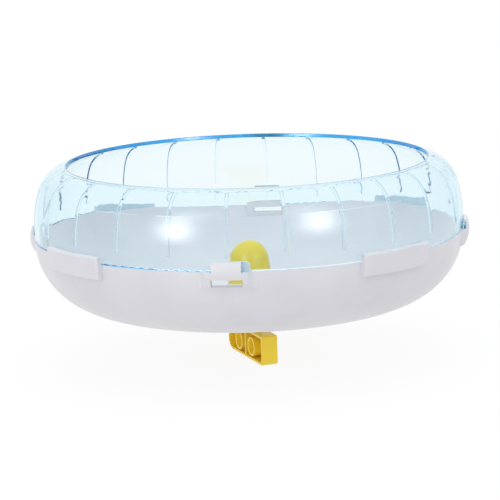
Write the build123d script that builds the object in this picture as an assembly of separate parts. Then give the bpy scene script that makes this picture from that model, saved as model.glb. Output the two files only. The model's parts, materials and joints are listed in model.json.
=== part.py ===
from build123d import *
import math
import os

# Hamster exercise wheel: a white bowl and a clear ring snapped together, turning on two small
# ball bearings on a yellow mounting bar. The wheel's axis is +Z, with its mouth at the top.
# The origin is the centre of the bar's foot face. The bar runs along Y and is open towards -X.
# All lengths are in millimetres and all angles in degrees.

# Bowl
wheel_radius = 104.4
bowl_depth = 34.6
bowl_wall = 2.1

# Clear ring
ring_wall = 1.9
ring_seat_gap = 0.15
ring_foot_round = 0.7
ring_side_height = 7.9
ring_bulge_radius = 48.5
ring_bulge_sweep = 20.0
ring_shoulder_radius = 16.0
mouth_slope = 12.0
mouth_land = 1.9
lip_round = 0.35

# Grip ribs inside the ring
rib_count = 24
rib_width = 1.6
rib_height = 0.7
rib_round = 0.3
rib_start_drop = 0.7
rib_end_turn = 6.0

# Snap clips, each a bridge on the bowl that holds down a ledge on the ring
snap_count = 4
snap_clearance = 0.25
bridge_width = 13.2
bridge_wall = 1.55
bridge_rise = 4.6
bridge_edge_round = 0.5
bump_face_radius = 12.0
bump_middle_drop = 0.3
bump_base_width = 27.0
bump_face_width = 15.6
window_width = 14.2
window_top_drop = 3.1
window_height = 3.5
window_sill = 0.7
ledge_width = 14.3
ledge_rise = 3.0
ledge_thickness = 0.85
ledge_tail_width = 13.1
ledge_tail_drop = 5.4
ledge_tail_chamfer = 0.2
upstand_width = 17.0
upstand_shift = 1.7
upstand_rise = 4.3
upstand_drop = 9.0
upstand_wall = 1.7
upstand_corner = 2.0
upstand_clearance = 0.4

# Locating pads between the clips, which wrap over the ring's lower edge
pad_span = 21.6
pad_reach = 3.0
pad_rise = 4.1
pad_drop = 6.6
pad_round = 0.9
pad_clearance = 0.3

# Rest turn of the wheel, from +X to its first clip
wheel_turn = -26.65

# Ball bearings, one at each end of the hub boss
bearing_bore_radius = 2.5
bearing_outer_radius = 6.5
bearing_width = 4.0
ball_radius = 1.19
ball_count = 8
ball_play = 0.05
race_shoulder = 0.34
shield_thickness = 0.25
shield_recess = 0.2
shield_seat = 0.27
shield_gap = 0.15
shield_fit = 0.02
cage_wall = 0.9
cage_web = 0.21
cage_rise = 0.7

# Hub boss of the bowl
bearing_recess = 0.4
bearing_spread = 9.1
bearing_fit = 0.02
boss_wall = 1.2
boss_lip = 0.8
bearing_shelf = 0.9
snap_groove_depth = 0.5
snap_groove_height = 2.0
snap_groove_lift = 2.4

# Hub cap
cap_wall = 1.0
cap_gap = 0.4
cap_taper = 9.2
cap_centre_lift = 1.6
cap_fin_count = 4
cap_fin_thickness = 1.2
cap_fin_lift = 0.6
cap_fin_top_drop = 2.6
cap_fin_clearance = 0.1
cap_nib_depth = 0.35
cap_nib_height = 1.4

# Axle screw, washers and spacer
axle_clearance = 0.04
screw_head_radius = 4.6
screw_head_height = 3.2
screw_head_round = 1.2
screw_recess_width = 1.0
screw_recess_span = 4.8
screw_recess_depth = 1.7
screw_tip_gap = 2.0
screw_tip_chamfer = 0.8
washer_radius = 5.0
washer_thickness = 1.0
shim_thickness = 0.5
washer_clearance = 0.15
spacer_wall = 0.95

# Mounting bar
bar_length = 46.0
bar_width = 8.2
bar_height = 14.6
bar_wall = 1.3
bar_far_corner = 5.5
bar_near_corner = 2.0
bar_top_corner = 0.8
bar_edge_round = 0.4
boss_spacing = 16.6
boss_centre_height = 6.8
boss_bore_radius = 3.65
boss_bore_wall = 1.1
stem_height = 14.4
stem_running_gap = 1.8
pilot_radius = 2.3
gusset_reach = 7.0
gusset_width = 2.4
gusset_top_gap = 1.5
nose_clearance = 0.25
cavity_corner = 0.5

# How far a shape runs into the piece it joins, or past the piece it cuts
overlap = 0.5

# Levels and radii that follow from the sizes above
bowl_bottom = bar_height + stem_height
parting = bowl_bottom + bowl_depth
floor_top = bowl_bottom + bowl_wall
corner_centre = wheel_radius - bowl_depth
ring_inner_radius = wheel_radius - ring_wall
lower_bearing_z = bowl_bottom + bearing_recess
upper_bearing_z = lower_bearing_z + bearing_width + bearing_spread
upper_bearing_top = upper_bearing_z + bearing_width
pocket_radius = bearing_outer_radius + bearing_fit
boss_radius = pocket_radius + boss_wall
boss_top = upper_bearing_top + boss_lip
pitch_radius = (bearing_bore_radius + bearing_outer_radius) / 2
inner_ring_radius = pitch_radius - ball_radius + race_shoulder
outer_ring_bore = pitch_radius + ball_radius - race_shoulder
race_radius = ball_radius + ball_play
axle_radius = bearing_bore_radius - axle_clearance
shim_top = upper_bearing_top + shim_thickness
washer_top = shim_top + washer_thickness
cap_radius = boss_radius + cap_gap + cap_wall
cap_centre_z = boss_top + cap_centre_lift
groove_z = floor_top + snap_groove_lift
ledge_inner_radius = wheel_radius + snap_clearance
ledge_radius = ledge_inner_radius + ledge_thickness
bridge_inner_radius = ledge_radius + snap_clearance
bump_radius = bridge_inner_radius + bridge_wall
window_z = parting - window_top_drop - window_height


def polar(centre, radius, angle):
    """The point at that radius and angle from a centre in a radius and height section."""
    turn = math.radians(angle)
    return (centre[0] + radius * math.cos(turn), centre[1] + radius * math.sin(turn))


def arc(centre, radius, start, end):
    """An arc in a section, between two angles about its centre."""
    return ThreePointArc(
        polar(centre, radius, start),
        polar(centre, radius, (start + end) / 2),
        polar(centre, radius, end),
    )


def section(edges):
    """A face in the X and Z plane from edges drawn as radius and height."""
    return Plane.XZ * make_face(edges)


def turned(edges):
    """A full turn of a closed section about the wheel's axis."""
    return revolve(section(edges), Axis.Z)


def tube(inner, outer, low, high):
    """A plain tube about the axis between two heights."""
    return turned(Polyline((inner, low), (outer, low), (outer, high), (inner, high), close=True).edges())


def disc(radius, low, high):
    """A plain cylinder about the axis between two heights."""
    return Pos(0, 0, low) * Cylinder(radius, high - low, align=(Align.CENTER, Align.CENTER, Align.MIN))


def slab(width, low, high, near, far):
    """A box along +X from near to far, centred across Y, between two heights."""
    centre = Pos((near + far) / 2, 0, (low + high) / 2)
    return centre * Box(far - near, width, high - low)


def curved_plate(inner, outer, width, low, high):
    """A piece of tube about the axis, cut to a straight width across +X."""
    return tube(inner, outer, low, high) & slab(width, low, high, 0, outer + overlap)


def repeated(shape, count, first=0.0):
    """Copies of a shape evenly round the axis."""
    return [Rot(0, 0, first + index * 360 / count) * shape for index in range(count)]


def ring_curve(offset, start_height, end_angle):
    """Edges of the ring's section, offset inwards, from a start height to an angle on its shoulder."""
    side = wheel_radius - offset
    bulge_centre = (wheel_radius - ring_bulge_radius, parting + ring_side_height)
    shoulder_centre = polar(bulge_centre, ring_bulge_radius - ring_shoulder_radius, ring_bulge_sweep)
    return [
        Line((side, parting + start_height), (side, parting + ring_side_height)),
        arc(bulge_centre, ring_bulge_radius - offset, 0, ring_bulge_sweep),
        arc(shoulder_centre, ring_shoulder_radius - offset, ring_bulge_sweep, end_angle),
    ]


def closed_band(outer, inner):
    """Two curves of a section, joined at their starts and their ends."""
    return [*outer, *inner, Line(outer[0] @ 0, inner[0] @ 0), Line(outer[-1] @ 1, inner[-1] @ 1)]


def ring_wall_curve(offset):
    """One face of the ring's wall in section, from its foot to the mouth."""
    curve = ring_curve(offset, ring_seat_gap, 90 - mouth_slope)
    start = tuple(curve[-1] @ 1)
    return [*curve, Line(start, polar(start, mouth_land, 180 - mouth_slope))]


def grip_rib():
    """One rib across the running surface, with rounded edges and a round lower end."""
    inner_offset = ring_wall + rib_height
    start = ring_side_height - rib_start_drop
    end_angle = 90 - mouth_slope - rib_end_turn
    inner = ring_curve(inner_offset, start, end_angle)
    root = ring_curve(ring_wall - overlap, start, end_angle)
    blade = extrude(section(closed_band(root, inner)), rib_width / 2, both=True)
    lengthwise = blade.edges().filter_by(Axis.Y, reverse=True)
    middles = [Plane.XZ.from_local_coords(edge @ 0.5) for edge in inner]
    sides = [edge for middle in middles for edge in lengthwise.sort_by_distance(middle)[:2]]
    blade = fillet(sides, rib_round)
    end = Cylinder(rib_width / 2, rib_height + overlap, align=(Align.CENTER, Align.CENTER, Align.MIN))
    end = fillet(end.edges().group_by(Axis.Z)[0], rib_round)
    return blade + Pos(wheel_radius - inner_offset, 0, parting + start) * Rot(0, 90, 0) * end


def ring_ledge():
    """The ledge under one bridge, with a narrower tail that goes down into the clip's pocket."""
    inner = ring_inner_radius + overlap
    head = curved_plate(inner, ledge_radius, ledge_width, parting + ring_seat_gap, parting + ledge_rise)
    tail_low = parting - ledge_tail_drop
    tail = curved_plate(ledge_inner_radius, ledge_radius, ledge_tail_width, tail_low, parting + overlap)
    lowest = tail.edges().group_by(Axis.Z)[0]
    return head + chamfer(lowest, ledge_tail_chamfer)


def make_clear_ring():
    profile = make_face(closed_band(ring_wall_curve(0), ring_wall_curve(ring_wall)))
    profile = fillet(profile.vertices().group_by(Axis.Y)[0], ring_foot_round)
    profile = fillet(profile.vertices().sort_by(Axis.X)[:2], lip_round)
    shell = revolve(Plane.XZ * profile, Axis.Z)
    ribs = repeated(grip_rib(), rib_count)
    ledges = repeated(ring_ledge(), snap_count)
    return shell + [*ribs, *ledges]


def bowl_section(offset, drop):
    """Closed section that stands proud of the bowl's wall by an offset, from a drop below the parting."""
    centre = (corner_centre, parting)
    outer = bowl_depth + offset
    inner = bowl_depth - bowl_wall / 2
    outer_end = -math.degrees(math.asin(drop / outer))
    inner_end = -math.degrees(math.asin(drop / inner))
    return [
        arc(centre, outer, outer_end, 0),
        arc(centre, inner, inner_end, 0),
        Line(polar(centre, outer, outer_end), polar(centre, inner, inner_end)),
        Line(polar(centre, outer, 0), polar(centre, inner, 0)),
    ]


def clip_band(inner, low, high):
    """Band about the axis with the clip's rounded outer face, from an inner radius, between two heights."""
    centre = (bump_radius - bump_face_radius, parting - bump_middle_drop)
    low_angle = math.degrees(math.asin((low - centre[1]) / bump_face_radius))
    high_angle = math.degrees(math.asin((high - centre[1]) / bump_face_radius))
    face = arc(centre, bump_face_radius, low_angle, high_angle)
    sides = Polyline(face @ 0, (inner, low), (inner, high), face @ 1)
    return turned([face, *sides.edges()])


def snap_bump():
    """The swelling on the bowl that carries one bridge, with flanks that run out softly into the wall."""
    foot = (wheel_radius - bowl_wall / 2, bump_base_width / 2)
    face = (bump_radius, bump_face_width / 2)
    flank = Spline(foot, face, tangents=[(0, -1), (0, -1)])
    outline = Polyline(face, (bump_radius + overlap, 0), (corner_centre, 0), (corner_centre, foot[1]), foot)
    half = extrude(make_face([flank, *outline.edges()]), bowl_depth)
    plan = Pos(0, 0, bowl_bottom) * (half + mirror(half, Plane.XZ))
    return clip_band(wheel_radius - bowl_wall / 2, window_z - window_sill, parting) & plan


def snap_bridge():
    """The upright part of one clip, whose top turns in over the ring's ledge."""
    top = parting + bridge_rise
    lip_low = parting + ledge_rise + snap_clearance
    wall = clip_band(bridge_inner_radius, parting - overlap, top)
    lip = clip_band(ledge_inner_radius, lip_low, top)
    bridge = (wall + lip) & slab(bridge_width, parting - overlap, top, 0, bump_radius + overlap)
    outer_top = bridge.edges().group_by(Axis.Z)[-1].sort_by(Axis.X)[-1]
    return fillet(outer_top, bridge_edge_round)


def snap_upstand():
    """The plate inside the ring that backs one clip."""
    outer = ring_inner_radius - upstand_clearance
    inner = outer - upstand_wall
    plate = curved_plate(inner, outer, upstand_width, parting - overlap, parting + upstand_rise)
    corners = plate.edges().filter_by(Axis.X).group_by(Axis.Z)[-1]
    plate = fillet(corners, upstand_corner)
    plate = Pos(0, upstand_shift, 0) * plate
    root = curved_plate(inner, wheel_radius - bowl_wall / 2, upstand_width, parting - upstand_drop, parting)
    root = Pos(0, upstand_shift, 0) * root
    hollow = turned(
        [
            arc((corner_centre, parting), bowl_depth - bowl_wall / 2, -90, 0),
            Line((corner_centre, bowl_bottom + bowl_wall / 2), (corner_centre, parting)),
            Line((corner_centre, parting), (wheel_radius - bowl_wall / 2, parting)),
        ]
    )
    return plate + (root & hollow)


def snap_pocket():
    """The hollow behind one bridge, down to the foot of its window."""
    return curved_plate(wheel_radius, bridge_inner_radius, window_width, window_z, parting + overlap)


def snap_window():
    """The slot below one bridge, right through the bowl's wall and the upstand."""
    return slab(window_width, window_z, window_z + window_height, corner_centre, bump_radius + overlap)


def nearest(shape, point):
    """The corner of a flat face that lies nearest to a point."""
    return shape.vertices().sort_by_distance((*point, 0))[0]


def locating_pad():
    """One raised pad on the bowl, which stands up outside the ring's lower edge."""
    inner = wheel_radius + pad_clearance
    outer = wheel_radius + pad_reach
    top = parting + pad_rise
    face, wall, foot, _ = bowl_section(pad_reach, pad_drop)
    upright = Polyline((outer, parting), (outer, top), (inner, top), (inner, parting), wall @ 1)
    profile = make_face([face, wall, foot, *upright.edges()])
    profile = fillet([nearest(profile, (outer, top)), nearest(profile, foot.start_point())], pad_round)
    middle = (0, 0)
    ends = [polar(middle, outer, angle) for angle in (-pad_span / 2, pad_span / 2)]
    rim = arc(middle, outer, -pad_span / 2, pad_span / 2)
    plan = make_face([rim, Line(middle, ends[0]), Line(middle, ends[1])])
    plan = fillet([nearest(plan, end) for end in ends], pad_round)
    prism = Pos(0, 0, parting - pad_drop) * extrude(plan, pad_drop + pad_rise)
    return revolve(Plane.XZ * profile, Axis.Z) & prism


def make_wheel_bowl():
    centre = (corner_centre, parting)
    inner = bowl_depth - bowl_wall
    shell = turned(
        [
            Line((pocket_radius, bowl_bottom), (corner_centre, bowl_bottom)),
            arc(centre, bowl_depth, -90, 0),
            Line((wheel_radius, parting), (wheel_radius - bowl_wall, parting)),
            arc(centre, inner, -90, 0),
            Line((corner_centre, floor_top), (pocket_radius, floor_top)),
            Line((pocket_radius, floor_top), (pocket_radius, bowl_bottom)),
        ]
    )
    shelf_low = lower_bearing_z + bearing_width
    shelf_bore = pocket_radius - bearing_shelf
    boss = turned(
        Polyline(
            (pocket_radius, bowl_bottom),
            (boss_radius, bowl_bottom),
            (boss_radius, groove_z),
            (boss_radius - snap_groove_depth, groove_z),
            (boss_radius - snap_groove_depth, groove_z + snap_groove_height),
            (boss_radius, groove_z + snap_groove_height),
            (boss_radius, boss_top),
            (pocket_radius, boss_top),
            (pocket_radius, upper_bearing_z),
            (shelf_bore, upper_bearing_z),
            (shelf_bore, shelf_low),
            (pocket_radius, shelf_low),
            close=True,
        ).edges()
    )
    clip = snap_bump() + [snap_bridge(), snap_upstand()] - snap_pocket()
    pads = repeated(locating_pad(), snap_count, 180 / snap_count)
    bowl = shell + [boss, *repeated(clip, snap_count), *pads]
    return bowl - repeated(snap_window(), snap_count)


def cap_curve(wall):
    """Inner or outer edges of the cap's section, from the floor to its top."""
    centre = (0, cap_centre_z)
    radius = cap_radius - wall
    touch = polar(centre, radius, cap_taper)
    foot = touch[0] + (touch[1] - floor_top) * math.tan(math.radians(cap_taper))
    return [Line((foot, floor_top), touch), arc(centre, radius, cap_taper, 90)]


def cap_fin():
    """One fin inside the cap, with a nib that snaps into the boss's groove."""
    inner = boss_radius + cap_fin_clearance
    nib = boss_radius - cap_nib_depth
    low = floor_top + cap_fin_lift
    high = cap_centre_z - cap_fin_top_drop
    side = cap_curve(cap_wall / 2)[0]
    lean = math.tan(math.radians(cap_taper))
    foot = (side @ 0).X
    nib_low = groove_z + (snap_groove_height - cap_nib_height) / 2
    outline = Polyline(
        (inner, low),
        (foot - cap_fin_lift * lean, low),
        (foot - (high - floor_top) * lean, high),
        (inner, high),
        (inner, nib_low + cap_nib_height),
        (nib, nib_low + cap_nib_height / 2),
        (nib, nib_low),
        (inner, nib_low),
        close=True,
    )
    return extrude(section(outline.edges()), cap_fin_thickness / 2, both=True)


def make_hub_cap():
    outer = cap_curve(0)
    inner = cap_curve(cap_wall)
    foot = Line(outer[0] @ 0, inner[0] @ 0)
    top = Line(outer[-1] @ 1, inner[-1] @ 1)
    shell = turned([*outer, *inner, foot, top])
    return shell + repeated(cap_fin(), cap_fin_count, 180 / cap_fin_count)


def bearing_parts(z):
    """The pieces of one ball bearing whose lower face is at height z."""
    middle = z + bearing_width / 2
    top = z + bearing_width
    groove = turned([CenterArc((pitch_radius, middle), race_radius, 0, 360)])
    seat_depth = shield_recess + shield_thickness + shield_gap / 2
    seat_radius = outer_ring_bore + shield_seat
    seats = [
        tube(outer_ring_bore - overlap, seat_radius, z - overlap, z + seat_depth),
        tube(outer_ring_bore - overlap, seat_radius, top - seat_depth, top + overlap),
    ]
    shield_inner = inner_ring_radius + shield_gap
    shield_outer = seat_radius - shield_fit
    low_shield = z + shield_recess
    high_shield = top - shield_recess - shield_thickness
    ball = Pos(pitch_radius, 0, middle) * Sphere(ball_radius)
    pocket = Pos(pitch_radius, 0, middle) * Sphere(race_radius)
    cage = tube(
        pitch_radius - cage_wall / 2,
        pitch_radius + cage_wall / 2,
        middle - race_radius - cage_web,
        middle + cage_rise,
    )
    return {
        "inner_ring": tube(bearing_bore_radius, inner_ring_radius, z, top) - groove,
        "outer_ring": tube(outer_ring_bore, bearing_outer_radius, z, top) - [groove, *seats],
        "balls": Compound(repeated(ball, ball_count)),
        "ball_cage": cage - repeated(pocket, ball_count),
        "bottom_shield": tube(shield_inner, shield_outer, low_shield, low_shield + shield_thickness),
        "top_shield": tube(shield_inner, shield_outer, high_shield, high_shield + shield_thickness),
    }


def make_axle_screw():
    tip = bar_height + screw_tip_gap
    shank = disc(axle_radius, tip, washer_top)
    shank = chamfer(shank.edges().group_by(Axis.Z)[0], screw_tip_chamfer)
    head = disc(screw_head_radius, washer_top, washer_top + screw_head_height)
    head = fillet(head.edges().group_by(Axis.Z)[-1], screw_head_round)
    head_top = washer_top + screw_head_height
    slot = slab(
        screw_recess_width,
        head_top - screw_recess_depth,
        head_top + overlap,
        -screw_recess_span / 2,
        screw_recess_span / 2,
    )
    return shank + head - [slot, Rot(0, 0, 90) * slot]


def bar_outline(inset, corners):
    """The bar's side view in Y and Z, inset by a wall, with its corners from the foot's near end round."""
    near = inset - bar_length / 2
    far = bar_length / 2 - inset
    high = bar_height - inset
    points = [(near, inset), (far, inset), (far, high), (near, high)]
    outline = FilletPolyline(*points, radius=corners, close=True)
    return Plane.YZ * make_face(outline.edges())


def along_x(radius, low, high, y, z):
    """A cylinder along X between two places, at that Y and Z."""
    rod = Cylinder(radius, high - low, align=(Align.CENTER, Align.CENTER, Align.MIN))
    return Pos(low, y, z) * Rot(0, 90, 0) * rod


def make_mounting_bar():
    half = bar_width / 2
    outer = bar_outline(0, [bar_near_corner, bar_far_corner, bar_top_corner, bar_top_corner])
    inner_corners = [bar_near_corner - bar_wall, bar_far_corner - bar_wall, cavity_corner, cavity_corner]
    inner = bar_outline(bar_wall, inner_corners)
    blank = extrude(outer, half, both=True)
    blank = fillet(blank.faces().sort_by(Axis.X)[-1].edges(), bar_edge_round)
    blank = fillet(blank.faces().sort_by(Axis.X)[0].edges(), bar_edge_round)
    cavity = Pos(-half - overlap, 0, 0) * extrude(inner, bar_width - bar_wall + overlap)
    partition = Pos(0, 0, bar_height / 2) * Box(bar_width - bar_edge_round, bar_wall, bar_height - bar_wall)
    sides = (-boss_spacing / 2, boss_spacing / 2)
    boss = boss_bore_radius + boss_bore_wall
    bosses = [along_x(boss, -half, half - bar_wall / 2, y, boss_centre_height) for y in sides]
    bores = [along_x(boss_bore_radius, -half - overlap, half + overlap, y, boss_centre_height) for y in sides]
    bar = blank - cavity + [partition, *bosses]
    stem_top = bowl_bottom - stem_running_gap
    stem_radius = half
    stem = disc(stem_radius, bar_height - bar_wall / 2, stem_top)
    nose = disc(inner_ring_radius - nose_clearance, stem_top - overlap, lower_bearing_z)
    gusset_foot = stem_radius + gusset_reach
    gusset = Polyline(
        (-gusset_foot, bar_height),
        (-gusset_foot, bar_height - bar_wall / 2),
        (gusset_foot, bar_height - bar_wall / 2),
        (gusset_foot, bar_height),
        (stem_radius, stem_top - gusset_top_gap),
        (-stem_radius, stem_top - gusset_top_gap),
        close=True,
    )
    web = extrude(Plane.YZ * make_face(gusset.edges()), gusset_width / 2, both=True)
    pilot = disc(pilot_radius, bar_height + screw_tip_gap / 2, lower_bearing_z + overlap)
    return bar + [stem, nose, web] - [*bores, pilot]


def make_parts():
    """Every piece by name, with the wheel's own pieces at its rest turn."""
    parts = {
        "wheel_bowl": make_wheel_bowl(),
        "clear_ring": make_clear_ring(),
        "hub_cap": make_hub_cap(),
    }
    parts = {name: Rot(0, 0, wheel_turn) * shape for name, shape in parts.items()}
    sleeve_radius = bearing_bore_radius + spacer_wall
    washer_bore = bearing_bore_radius + washer_clearance
    lower_top = lower_bearing_z + bearing_width
    parts["mounting_bar"] = make_mounting_bar()
    parts["axle_screw"] = make_axle_screw()
    parts["axle_washer"] = tube(washer_bore, washer_radius, shim_top, washer_top)
    parts["bearing_shim"] = tube(bearing_bore_radius, sleeve_radius, upper_bearing_top, shim_top)
    parts["bearing_spacer"] = tube(bearing_bore_radius, sleeve_radius, lower_top, upper_bearing_z)
    for place, z in (("lower", lower_bearing_z), ("upper", upper_bearing_z)):
        for name, shape in bearing_parts(z).items():
            parts[f"{place}_{name}"] = shape
    return parts


os.makedirs("parts", exist_ok=True)
for name, shape in make_parts().items():
    export_step(shape, f"parts/{name}.step")
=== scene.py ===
import json
import math

import bpy
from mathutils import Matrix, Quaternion, Vector

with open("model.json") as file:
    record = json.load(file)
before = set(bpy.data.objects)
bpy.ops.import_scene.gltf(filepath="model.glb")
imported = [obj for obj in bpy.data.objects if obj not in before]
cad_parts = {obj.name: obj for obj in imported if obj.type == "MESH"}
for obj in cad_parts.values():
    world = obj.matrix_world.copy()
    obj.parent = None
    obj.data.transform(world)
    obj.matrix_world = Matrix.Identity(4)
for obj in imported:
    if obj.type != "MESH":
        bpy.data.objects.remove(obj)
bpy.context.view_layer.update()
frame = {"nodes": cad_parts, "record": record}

MM = 0.001

# Photograph's camera, found by fitting the wheel's circles and ribs to the photograph
LOOK_HEIGHT = frame["record"]["behaviour"]["joints"][0]["pos_m"][2]
CAMERA_AZIMUTH = -20.9
CAMERA_ELEVATION = 10.385
CAMERA_ROLL = 1.878
CAMERA_DISTANCE = 1.020
CAMERA_CLIP = (0.05, 100.0)
IMAGE_PIXELS = 500
FOCAL_PIXELS = 2083.9
ORIGIN_PIXEL = (248.93, 229.18)
SENSOR_MM = 36.0

# Studio: a white tent over a lit table. Where the tent isn't seen itself, its light grows with height.
AMBIENT_LOW = 0.45
AMBIENT_TOP = 1.42

# Table: the light it gives the object, and its colour and glow where it is seen
FLOOR_SIZE = 30.0
FLOOR_DROP = 0.05 * MM
FLOOR_LIGHT = 0.77
FLOOR_SEEN_COLOUR = (0.12, 0.12, 0.12)
FLOOR_GLOW = 0.88

# Lamps: headings from the camera's, and elevations and spreads, in degrees
LAMP_DISTANCE = 2.6
LAMP_HEADINGS = (-38.5, 37.0)
LAMP_ELEVATIONS = (13.0, 17.0)
LAMP_RADIANCES = (13.0, 11.0)
LAMP_SPREADS = (6.5, 7.0)
LAMP_SPREADS_SHOWN = 2.5

# A lamp's middle in its own coordinates, which run from 0 to 1 across it
LAMP_MIDDLE = (0.5, 0.5, 0.0)

# Low fill in front. Its share is how bright it alone makes a white surface that faces it.
FILL_HEADING = -15.0
FILL_ELEVATION = 3.0
FILL_SIZE = 1.6
FILL_SHARE = 0.25

# Colours, linear
NO_LIGHT = (0.0, 0.0, 0.0)
FULL_LIGHT = (1.0, 1.0, 1.0)
WHITE = (0.76, 0.755, 0.80)
WHITE_SHADE = (0.72, 0.715, 0.765)
SPECK = (0.33, 0.31, 0.30)
CAP_YELLOW = (0.78, 0.62, 0.004)
CAP_YELLOW_SHADE = (0.75, 0.585, 0.003)
# The bar's yellow is painted brighter than the cap's: painted light that makes up for the shade under the
# bowl
BAR_YELLOW_PAINTED_LIGHTER = (0.95, 0.69, 0.035)
BAR_CLOUD_PAINTED_LIGHTER = (0.92, 0.65, 0.03)
ZINC = (0.60, 0.61, 0.63)
STEEL = (0.72, 0.73, 0.75)

# Moulded plastic: clouding of its colour, patches of its gloss, fine texture and specks
CLOUD_SIZE = 26 * MM
CLOUD_DETAIL = 3.0
CLOUD_RANGE = (0.35, 0.65)
PATCH_SIZE = 6 * MM
PATCH_RANGE = (0.2, 0.8)
TEXTURE_SIZE = 0.35 * MM
TEXTURE_DETAIL = 1.0
TEXTURE_STRENGTH = 0.25
TEXTURE_DEPTH = 0.004 * MM
SPECK_SPACING = 21 * MM
SPECK_RADIUS = 0.33 * MM
WHITE_SPECK_SHARE = 0.05
PLASTIC_ROUGHNESS = (0.28, 0.36)
PLASTIC_IOR = 1.5

# Clear plastic: what one millimetre takes from red, green and blue light, and what each face
# passes on of the light that falls on other pieces. Its faces have slight waves.
ABSORBED_PER_MM = (0.0610, 0.0130, 0.0012)
CLEAR_PASSED = (0.985, 0.985, 0.985)
CLEAR_IOR = 1.49
CLEAR_ROUGHNESS = 0.02
WAVE_SIZE = 14 * MM
WAVE_STRENGTH = 0.5
WAVE_DEPTH = 0.004 * MM

# Steel: fine marks, and edges that the shading rounds to a radius
MARK_SIZE = 1.6 * MM
MARK_DETAIL = 5.0
MARK_RANGE = (0.3, 0.7)
MARK_SHADE = 0.88
ZINC_ROUGHNESS = (0.28, 0.42)
ZINC_EDGE_RADIUS = 0.1 * MM
STEEL_ROUGHNESS = (0.10, 0.24)
STEEL_EDGE_RADIUS = 0.08 * MM
EDGE_SAMPLES = 6

# Sockets of the Mix node that hold its two colours and their mix
MIX_FIRST = 6
MIX_SECOND = 7
MIX_RESULT = 2

# Bounces, enough for light to cross the clear ring's near and far sides and their ribs
ALL_BOUNCES = 48
CLEAR_BOUNCES = 32


def new_material(name):
    """An empty node material, with its tree and its output node."""
    material = bpy.data.materials.new(name)
    material.use_nodes = True
    tree = material.node_tree
    tree.nodes.clear()
    return material, tree, tree.nodes.new("ShaderNodeOutputMaterial")


def feed(tree, socket, value):
    """Gives a node's input a plain value, a colour or another node's output."""
    if isinstance(value, bpy.types.NodeSocket):
        tree.links.new(value, socket)
    elif socket.type == "RGBA":
        socket.default_value = (*value[:3], 1.0)
    else:
        socket.default_value = value


def add(tree, kind, *in_order, settings=None, **by_name):
    """A node with its settings, and with inputs given in order or by name."""
    node = tree.nodes.new("ShaderNode" + kind)
    for key, value in (settings or {}).items():
        setattr(node, key, value)
    for socket, value in zip(node.inputs, in_order):
        feed(tree, socket, value)
    for key, value in by_name.items():
        feed(tree, node.inputs[key.replace("_", " ")], value)
    return node


def place(tree):
    """Coordinates on the piece itself, in metres."""
    return add(tree, "TexCoord").outputs["Object"]


def math_node(tree, operation, first, second=0.0):
    """One step of arithmetic on two values or outputs."""
    return add(tree, "Math", first, second, settings={"operation": operation}).outputs[0]


def noise(tree, size, detail=2.0):
    """Soft noise from 0 to 1 with features about as large as size."""
    return add(tree, "TexNoise", Vector=place(tree), Scale=1 / size, Detail=detail).outputs["Fac"]


def mixed(tree, factor, first, second):
    """A colour between two, by a factor."""
    node = add(tree, "Mix", settings={"data_type": "RGBA"}, Factor=factor)
    feed(tree, node.inputs[MIX_FIRST], first)
    feed(tree, node.inputs[MIX_SECOND], second)
    return node.outputs[MIX_RESULT]


def between(tree, value, low, high, to_low=0.0, to_high=1.0):
    """A value's range mapped to another range, held at its ends."""
    node = add(
        tree, "MapRange", Value=value, From_Min=low, From_Max=high, To_Min=to_low, To_Max=to_high
    )
    return node.outputs["Result"]


def specks(tree, cell, radius, share):
    """1 on a few small round specks scattered over the piece, and 0 elsewhere."""
    cells = add(tree, "TexVoronoi", Vector=place(tree), Scale=1 / cell, Randomness=1.0)
    near = math_node(tree, "LESS_THAN", cells.outputs["Distance"], radius / cell)
    red = add(tree, "SeparateColor", Color=cells.outputs["Color"]).outputs["Red"]
    return math_node(tree, "MULTIPLY", near, math_node(tree, "LESS_THAN", red, share))


def rounded_edges(tree, radius):
    """The surface's direction, turned near sharp edges as if they were rounded to a radius."""
    return add(tree, "Bevel", settings={"samples": EDGE_SAMPLES}, Radius=radius).outputs["Normal"]


def moulded(name, colour, shade, speck_share=0.0):
    """Opaque moulded plastic: faint clouding, fine texture and specks in a share of its cells."""
    material, tree, out = new_material(name)
    clouds = between(tree, noise(tree, CLOUD_SIZE, CLOUD_DETAIL), *CLOUD_RANGE)
    tone = mixed(tree, clouds, shade, colour)
    dust = specks(tree, SPECK_SPACING, SPECK_RADIUS, speck_share)
    tone = mixed(tree, dust, tone, SPECK)
    rough = between(tree, noise(tree, PATCH_SIZE), *PATCH_RANGE, *PLASTIC_ROUGHNESS)
    relief = noise(tree, TEXTURE_SIZE, TEXTURE_DETAIL)
    texture = add(tree, "Bump", Height=relief, Strength=TEXTURE_STRENGTH, Distance=TEXTURE_DEPTH)
    shader = add(
        tree,
        "BsdfPrincipled",
        Base_Color=tone,
        Roughness=rough,
        Normal=texture.outputs["Normal"],
        IOR=PLASTIC_IOR,
    )
    tree.links.new(shader.outputs[0], out.inputs["Surface"])
    return material


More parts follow.
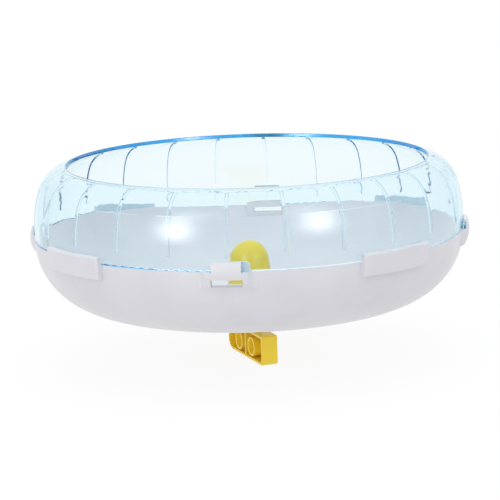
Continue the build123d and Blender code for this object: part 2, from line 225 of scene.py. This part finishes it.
def clear_plastic():
    """Clear tinted plastic, coloured by how far light goes through it."""
    material, tree, out = new_material("clear_blue_plastic")
    relief = noise(tree, WAVE_SIZE)
    waves = add(tree, "Bump", Height=relief, Strength=WAVE_STRENGTH, Distance=WAVE_DEPTH)
    glass = add(
        tree,
        "BsdfPrincipled",
        Base_Color=FULL_LIGHT,
        Roughness=CLEAR_ROUGHNESS,
        IOR=CLEAR_IOR,
        Transmission_Weight=1.0,
        Normal=waves.outputs["Normal"],
    )
    path = add(tree, "LightPath")
    through = math_node(tree, "MAXIMUM", path.outputs["Is Shadow Ray"], path.outputs["Is Diffuse Ray"])
    unbent = add(tree, "BsdfTransparent", Color=CLEAR_PASSED)
    both = add(tree, "MixShader", through, glass.outputs[0], unbent.outputs[0])
    tree.links.new(both.outputs[0], out.inputs["Surface"])
    strongest = max(ABSORBED_PER_MM)
    tint = [1 - value / strongest for value in ABSORBED_PER_MM]
    volume = add(tree, "VolumeAbsorption", Color=tint, Density=strongest / MM)
    tree.links.new(volume.outputs[0], out.inputs["Volume"])
    return material


def metal(name, colour, roughness, edge_radius):
    """Turned or plated steel with fine marks. Its roughness is a low and a high value."""
    material, tree, out = new_material(name)
    rounded = rounded_edges(tree, edge_radius)
    marks = noise(tree, MARK_SIZE, MARK_DETAIL)
    darker = [value * MARK_SHADE for value in colour]
    tone = mixed(tree, between(tree, marks, *MARK_RANGE), darker, colour)
    rough = between(tree, marks, *MARK_RANGE, *roughness)
    shader = add(tree, "BsdfPrincipled", Base_Color=tone, Metallic=1.0, Roughness=rough, Normal=rounded)
    tree.links.new(shader.outputs[0], out.inputs["Surface"])
    return material


def dress_nodes():
    """Gives every CAD node the material of its slot, apart from the bar, whose yellow is painted brighter
    to stand in for the light it lacks under the bowl.
    """
    slot_materials = {
        "white_plastic": moulded("white_plastic", WHITE, WHITE_SHADE, WHITE_SPECK_SHARE),
        "clear_blue_plastic": clear_plastic(),
        "yellow_plastic": moulded("cap_yellow_plastic", CAP_YELLOW, CAP_YELLOW_SHADE),
        "zinc_steel": metal("zinc_steel", ZINC, ZINC_ROUGHNESS, ZINC_EDGE_RADIUS),
        "bearing_steel": metal("bearing_steel", STEEL, STEEL_ROUGHNESS, STEEL_EDGE_RADIUS),
    }
    # The bar gets a brighter copy of the yellow plastic, as painted light for the shade it sits in under
    # the bowl
    painted_lighter_materials = {"mounting_bar": moulded("bar_yellow_painted_lighter", BAR_YELLOW_PAINTED_LIGHTER, BAR_CLOUD_PAINTED_LIGHTER)}
    for part in frame["record"]["subparts"]:
        piece = frame["nodes"][part["node"]]
        material = painted_lighter_materials.get(part["node"], slot_materials[part["material_slot"]])
        piece.data.materials.clear()
        piece.data.materials.append(material)


def seen_directly(tree):
    """1 for camera, mirror and see-through rays, and 0 for the rays that light the object."""
    path = add(tree, "LightPath")
    mirror = math_node(tree, "MAXIMUM", path.outputs["Is Glossy Ray"], path.outputs["Is Transmission Ray"])
    return math_node(tree, "MAXIMUM", path.outputs["Is Camera Ray"], mirror)


def make_floor():
    """A lit table that reads white and keeps a faint shadow."""
    half = FLOOR_SIZE / 2
    mesh = bpy.data.meshes.new("floor")
    corners = [(x * half, y * half, -FLOOR_DROP) for x, y in ((-1, -1), (1, -1), (1, 1), (-1, 1))]
    mesh.from_pydata(corners, [], [(0, 1, 2, 3)])
    floor = bpy.data.objects.new("floor", mesh)
    bpy.context.scene.collection.objects.link(floor)
    material, tree, out = new_material("floor")
    seen = seen_directly(tree)
    plain = add(tree, "BsdfDiffuse", Color=mixed(tree, seen, NO_LIGHT, FLOOR_SEEN_COLOUR))
    strength = between(tree, seen, 0.0, 1.0, FLOOR_LIGHT, FLOOR_GLOW)
    glow = add(tree, "Emission", Color=FULL_LIGHT, Strength=strength)
    both = add(tree, "AddShader", plain.outputs[0], glow.outputs[0])
    tree.links.new(both.outputs[0], out.inputs["Surface"])
    mesh.materials.append(material)


def axes_at(azimuth, elevation):
    """The directions towards a place round the object, to that place's right and up."""
    turn, rise = math.radians(azimuth), math.radians(elevation)
    back = Vector((math.sin(turn) * math.cos(rise), -math.cos(turn) * math.cos(rise), math.sin(rise)))
    right = Vector((math.cos(turn), math.sin(turn), 0.0))
    return back, right, back.cross(right)


def soft_falloff(tree):
    """A bell curve over a lamp, 1 in its middle and LAMP_SPREADS_SHOWN spreads out at its edges."""
    place_on_lamp = add(tree, "NewGeometry").outputs["Parametric"]
    offset = add(tree, "VectorMath", place_on_lamp, LAMP_MIDDLE, settings={"operation": "SUBTRACT"})
    length = add(tree, "VectorMath", offset.outputs[0], settings={"operation": "LENGTH"})
    spreads = math_node(tree, "MULTIPLY", length.outputs["Value"], 2 * LAMP_SPREADS_SHOWN)
    squared = math_node(tree, "MULTIPLY", spreads, spreads)
    return math_node(tree, "EXPONENT", math_node(tree, "MULTIPLY", squared, -0.5))


def add_lamp(name, heading, elevation, sizes, radiance):
    """An area lamp that faces the wheel from a heading beside the camera.

    The camera doesn't see it, straight or through the clear ring.
    """
    toward = axes_at(CAMERA_AZIMUTH + heading, elevation)[0]
    lamp = bpy.data.lights.new(name, "AREA")
    lamp.shape = "RECTANGLE"
    lamp.size, lamp.size_y = sizes
    lamp.energy = radiance * math.pi * lamp.size * lamp.size_y
    holder = bpy.data.objects.new(name, lamp)
    holder.location = Vector((0.0, 0.0, LOOK_HEIGHT)) + toward * LAMP_DISTANCE
    holder.rotation_mode = "QUATERNION"
    holder.rotation_quaternion = (-toward).to_track_quat("-Z", "Y")
    holder.visible_camera = False
    holder.visible_transmission = False
    bpy.context.scene.collection.objects.link(holder)
    return holder


def make_lamps():
    """Two soft lamps that show in the gloss alone, and a low fill that doesn't show there."""
    reach = 2 * LAMP_SPREADS_SHOWN * LAMP_DISTANCE
    sizes = [reach * math.tan(math.radians(spread)) for spread in LAMP_SPREADS]
    for heading, elevation, radiance in zip(LAMP_HEADINGS, LAMP_ELEVATIONS, LAMP_RADIANCES):
        holder = add_lamp("gloss_lamp", heading, elevation, sizes, radiance)
        holder.visible_diffuse = False
        holder.data.use_nodes = True
        tree = holder.data.node_tree
        tree.nodes.clear()
        glow = add(tree, "Emission", Color=FULL_LIGHT, Strength=soft_falloff(tree))
        out = tree.nodes.new("ShaderNodeOutputLight")
        tree.links.new(glow.outputs[0], out.inputs["Surface"])
    radiance = FILL_SHARE * math.pi * (LAMP_DISTANCE / FILL_SIZE) ** 2
    holder = add_lamp("fill_lamp", FILL_HEADING, FILL_ELEVATION, (FILL_SIZE, FILL_SIZE), radiance)
    holder.visible_glossy = False


def make_world():
    """A tent that is white where it is seen. Its light on the object grows from horizon to zenith."""
    world = bpy.data.worlds.new("studio")
    bpy.context.scene.world = world
    world.use_nodes = True
    tree = world.node_tree
    tree.nodes.clear()
    seen = seen_directly(tree)
    height = add(tree, "SeparateXYZ", Vector=add(tree, "TexCoord").outputs["Generated"]).outputs["Z"]
    ambient = between(tree, height, 0.0, 1.0, AMBIENT_LOW, AMBIENT_TOP)
    unseen = math_node(tree, "MULTIPLY", ambient, math_node(tree, "SUBTRACT", 1.0, seen))
    strength = math_node(tree, "ADD", unseen, seen)
    background = add(tree, "Background", Color=FULL_LIGHT, Strength=strength)
    out = tree.nodes.new("ShaderNodeOutputWorld")
    tree.links.new(background.outputs[0], out.inputs["Surface"])


def make_camera():
    """The photograph's camera, aimed so that the wheel's centre falls on its pixel."""
    back, right, up = axes_at(CAMERA_AZIMUTH, CAMERA_ELEVATION)
    centre = Vector((0.0, 0.0, LOOK_HEIGHT))
    roll = math.radians(CAMERA_ROLL)
    across = IMAGE_PIXELS / 2 - ORIGIN_PIXEL[0]
    above = ORIGIN_PIXEL[1] - IMAGE_PIXELS / 2
    aside = across * math.cos(roll) + above * math.sin(roll)
    higher = above * math.cos(roll) - across * math.sin(roll)
    per_pixel = CAMERA_DISTANCE / FOCAL_PIXELS
    target = centre + right * aside * per_pixel + up * higher * per_pixel
    lens = bpy.data.cameras.new("camera")
    lens.sensor_width = SENSOR_MM
    lens.lens = SENSOR_MM * FOCAL_PIXELS / IMAGE_PIXELS
    lens.clip_start, lens.clip_end = CAMERA_CLIP
    camera = bpy.data.objects.new("camera", lens)
    camera.location = centre + back * CAMERA_DISTANCE
    camera.rotation_mode = "QUATERNION"
    aim = (target - camera.location).to_track_quat("-Z", "Y")
    camera.rotation_quaternion = aim @ Quaternion((0, 0, 1), -roll)
    bpy.context.scene.collection.objects.link(camera)
    bpy.context.scene.camera = camera


dress_nodes()
make_floor()
make_world()
make_lamps()
make_camera()

scene = bpy.context.scene
scene.view_settings.view_transform = "Standard"
scene.cycles.max_bounces = ALL_BOUNCES
scene.cycles.glossy_bounces = CLEAR_BOUNCES
scene.cycles.transmission_bounces = CLEAR_BOUNCES
scene.cycles.transparent_max_bounces = CLEAR_BOUNCES
